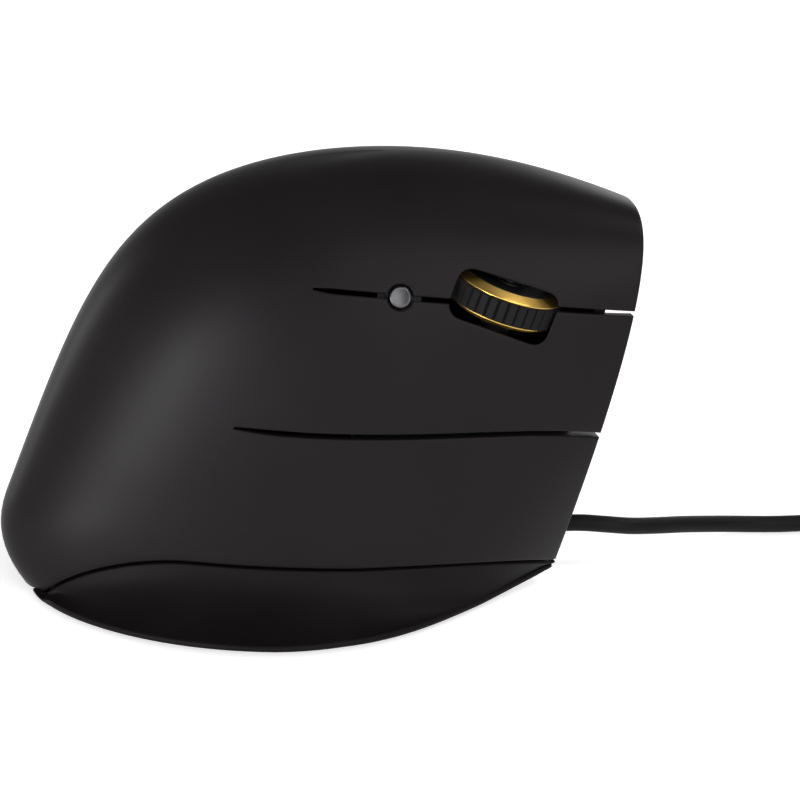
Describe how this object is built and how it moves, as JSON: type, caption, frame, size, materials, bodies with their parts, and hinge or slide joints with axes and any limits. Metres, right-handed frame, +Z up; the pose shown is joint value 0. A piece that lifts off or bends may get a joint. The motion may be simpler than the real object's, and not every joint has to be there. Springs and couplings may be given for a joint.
{
  "type": "vertical ergonomic computer mouse",
  "caption": "Corded vertical computer mouse with a tall handshake grip, stacked finger plate buttons, tilted scroll wheel, thumb buttons, finger ledge and coiled cord.",
  "frame": {"origin": "on the desk, under the middle of the mouse without its cord", "axes": "+X to the front edge where the cord leaves, +Y to the thumb side, +Z up"},
  "size_m": [0.2181, 0.1003, 0.0796],
  "materials": {
    "soft_touch": "soft-touch matte black",
    "dark_plastic": "matte black",
    "inner_plastic": "matte grey",
    "component": "satin black",
    "plunger": "satin red",
    "circuit_board": "green solder mask",
    "glide": "slick off-white",
    "lens": "clear",
    "tyre_rubber": "ribbed matte black",
    "gold_rim": "plated gold",
    "silver": "satin",
    "steel": "plain",
    "cord_jacket": "satin black"
  },
  "bodies": {
    "base": {"palm_shell": "soft_touch", "thumb_shell": "soft_touch", "finger_ledge": "dark_plastic", "front_panel": "dark_plastic", "base_plate": "dark_plastic", "glide_feet": "glide", "base_screws": "steel", "chassis": "inner_plastic", "button_board": "circuit_board", "board_screws": "steel", "top_switch": "component", "middle_switch": "component", "bottom_switch": "component", "thumb_board": "circuit_board", "thumb_switches": "component", "wheel_switch": "component", "rear_button_sleeve": "dark_plastic", "rear_switch": "component", "main_board": "circuit_board", "optical_sensor": "component", "sensor_lens": "lens", "ribbon_cable": "glide", "strain_relief": "cord_jacket", "cable_lead": "cord_jacket", "cable": "cord_jacket", "cable_coil": "cord_jacket", "cable_tie": "cord_jacket", "usb_plug_body": "cord_jacket", "usb_plug_shell": "steel", "usb_plug_tongue": "glide"},
    "top_plate": {"top_button": "soft_touch", "top_plunger": "plunger"},
    "middle_plate": {"middle_button": "soft_touch", "middle_plunger": "plunger"},
    "bottom_plate": {"bottom_button": "soft_touch", "bottom_plunger": "plunger"},
    "round_button": {"rear_button": "silver"},
    "yoke": {"wheel_yoke": "inner_plastic", "wheel_encoder": "component"},
    "wheel": {"wheel_tyre": "tyre_rubber", "wheel_hub": "gold_rim", "wheel_axle": "steel"},
    "rear_thumb_button": {"thumb_button_rear": "dark_plastic", "thumb_plunger_rear": "plunger"},
    "front_thumb_button": {"thumb_button_front": "dark_plastic", "thumb_plunger_front": "plunger"}
  },
  "joints": [
    {"name": "top_button_click", "type": "hinge", "parent": "base", "child": "top_plate", "pos_m": [0.00278, 0.0009, 0.06864], "axis": [0.1856, 0.9293, 0.3193], "range_deg": [0, 0.5], "stiffness_Nm_per_rad": 2.8},
    {"name": "middle_button_click", "type": "hinge", "parent": "base", "child": "middle_plate", "pos_m": [-0.00809, -0.02011, 0.05], "axis": [0.4958, 0.1847, 0.8486], "range_deg": [0, 0.6], "stiffness_Nm_per_rad": 2.5},
    {"name": "bottom_button_click", "type": "hinge", "parent": "base", "child": "bottom_plate", "pos_m": [-0.01908, -0.02402, 0.02448], "axis": [0.2747, 0.0891, 0.9574], "range_deg": [0, 0.6], "stiffness_Nm_per_rad": 2.5},
    {"name": "rear_button_click", "type": "slide", "parent": "base", "child": "round_button", "axis": [-0.0259, 0.9224, -0.3853], "range_m": [0, 0.0005], "stiffness_N_per_m": 1000},
    {"name": "wheel_press", "type": "slide", "parent": "base", "child": "yoke", "axis": [-0.0029, 0.9981, -0.0617], "range_m": [0, 0.0005], "stiffness_N_per_m": 1800},
    {"name": "wheel_spin", "type": "hinge", "parent": "yoke", "child": "wheel", "pos_m": [0.03382, -0.0103, 0.05824], "axis": [0.3245, 0.0594, 0.944], "continuous": true},
    {"name": "thumb_rear_click", "type": "slide", "parent": "base", "child": "rear_thumb_button", "axis": [-0.1084, -0.9474, -0.3011], "range_m": [0, 0.0005], "stiffness_N_per_m": 1200},
    {"name": "thumb_front_click", "type": "slide", "parent": "base", "child": "front_thumb_button", "axis": [-0.2867, -0.9309, -0.2265], "range_m": [0, 0.0005], "stiffness_N_per_m": 1200}
  ]
}
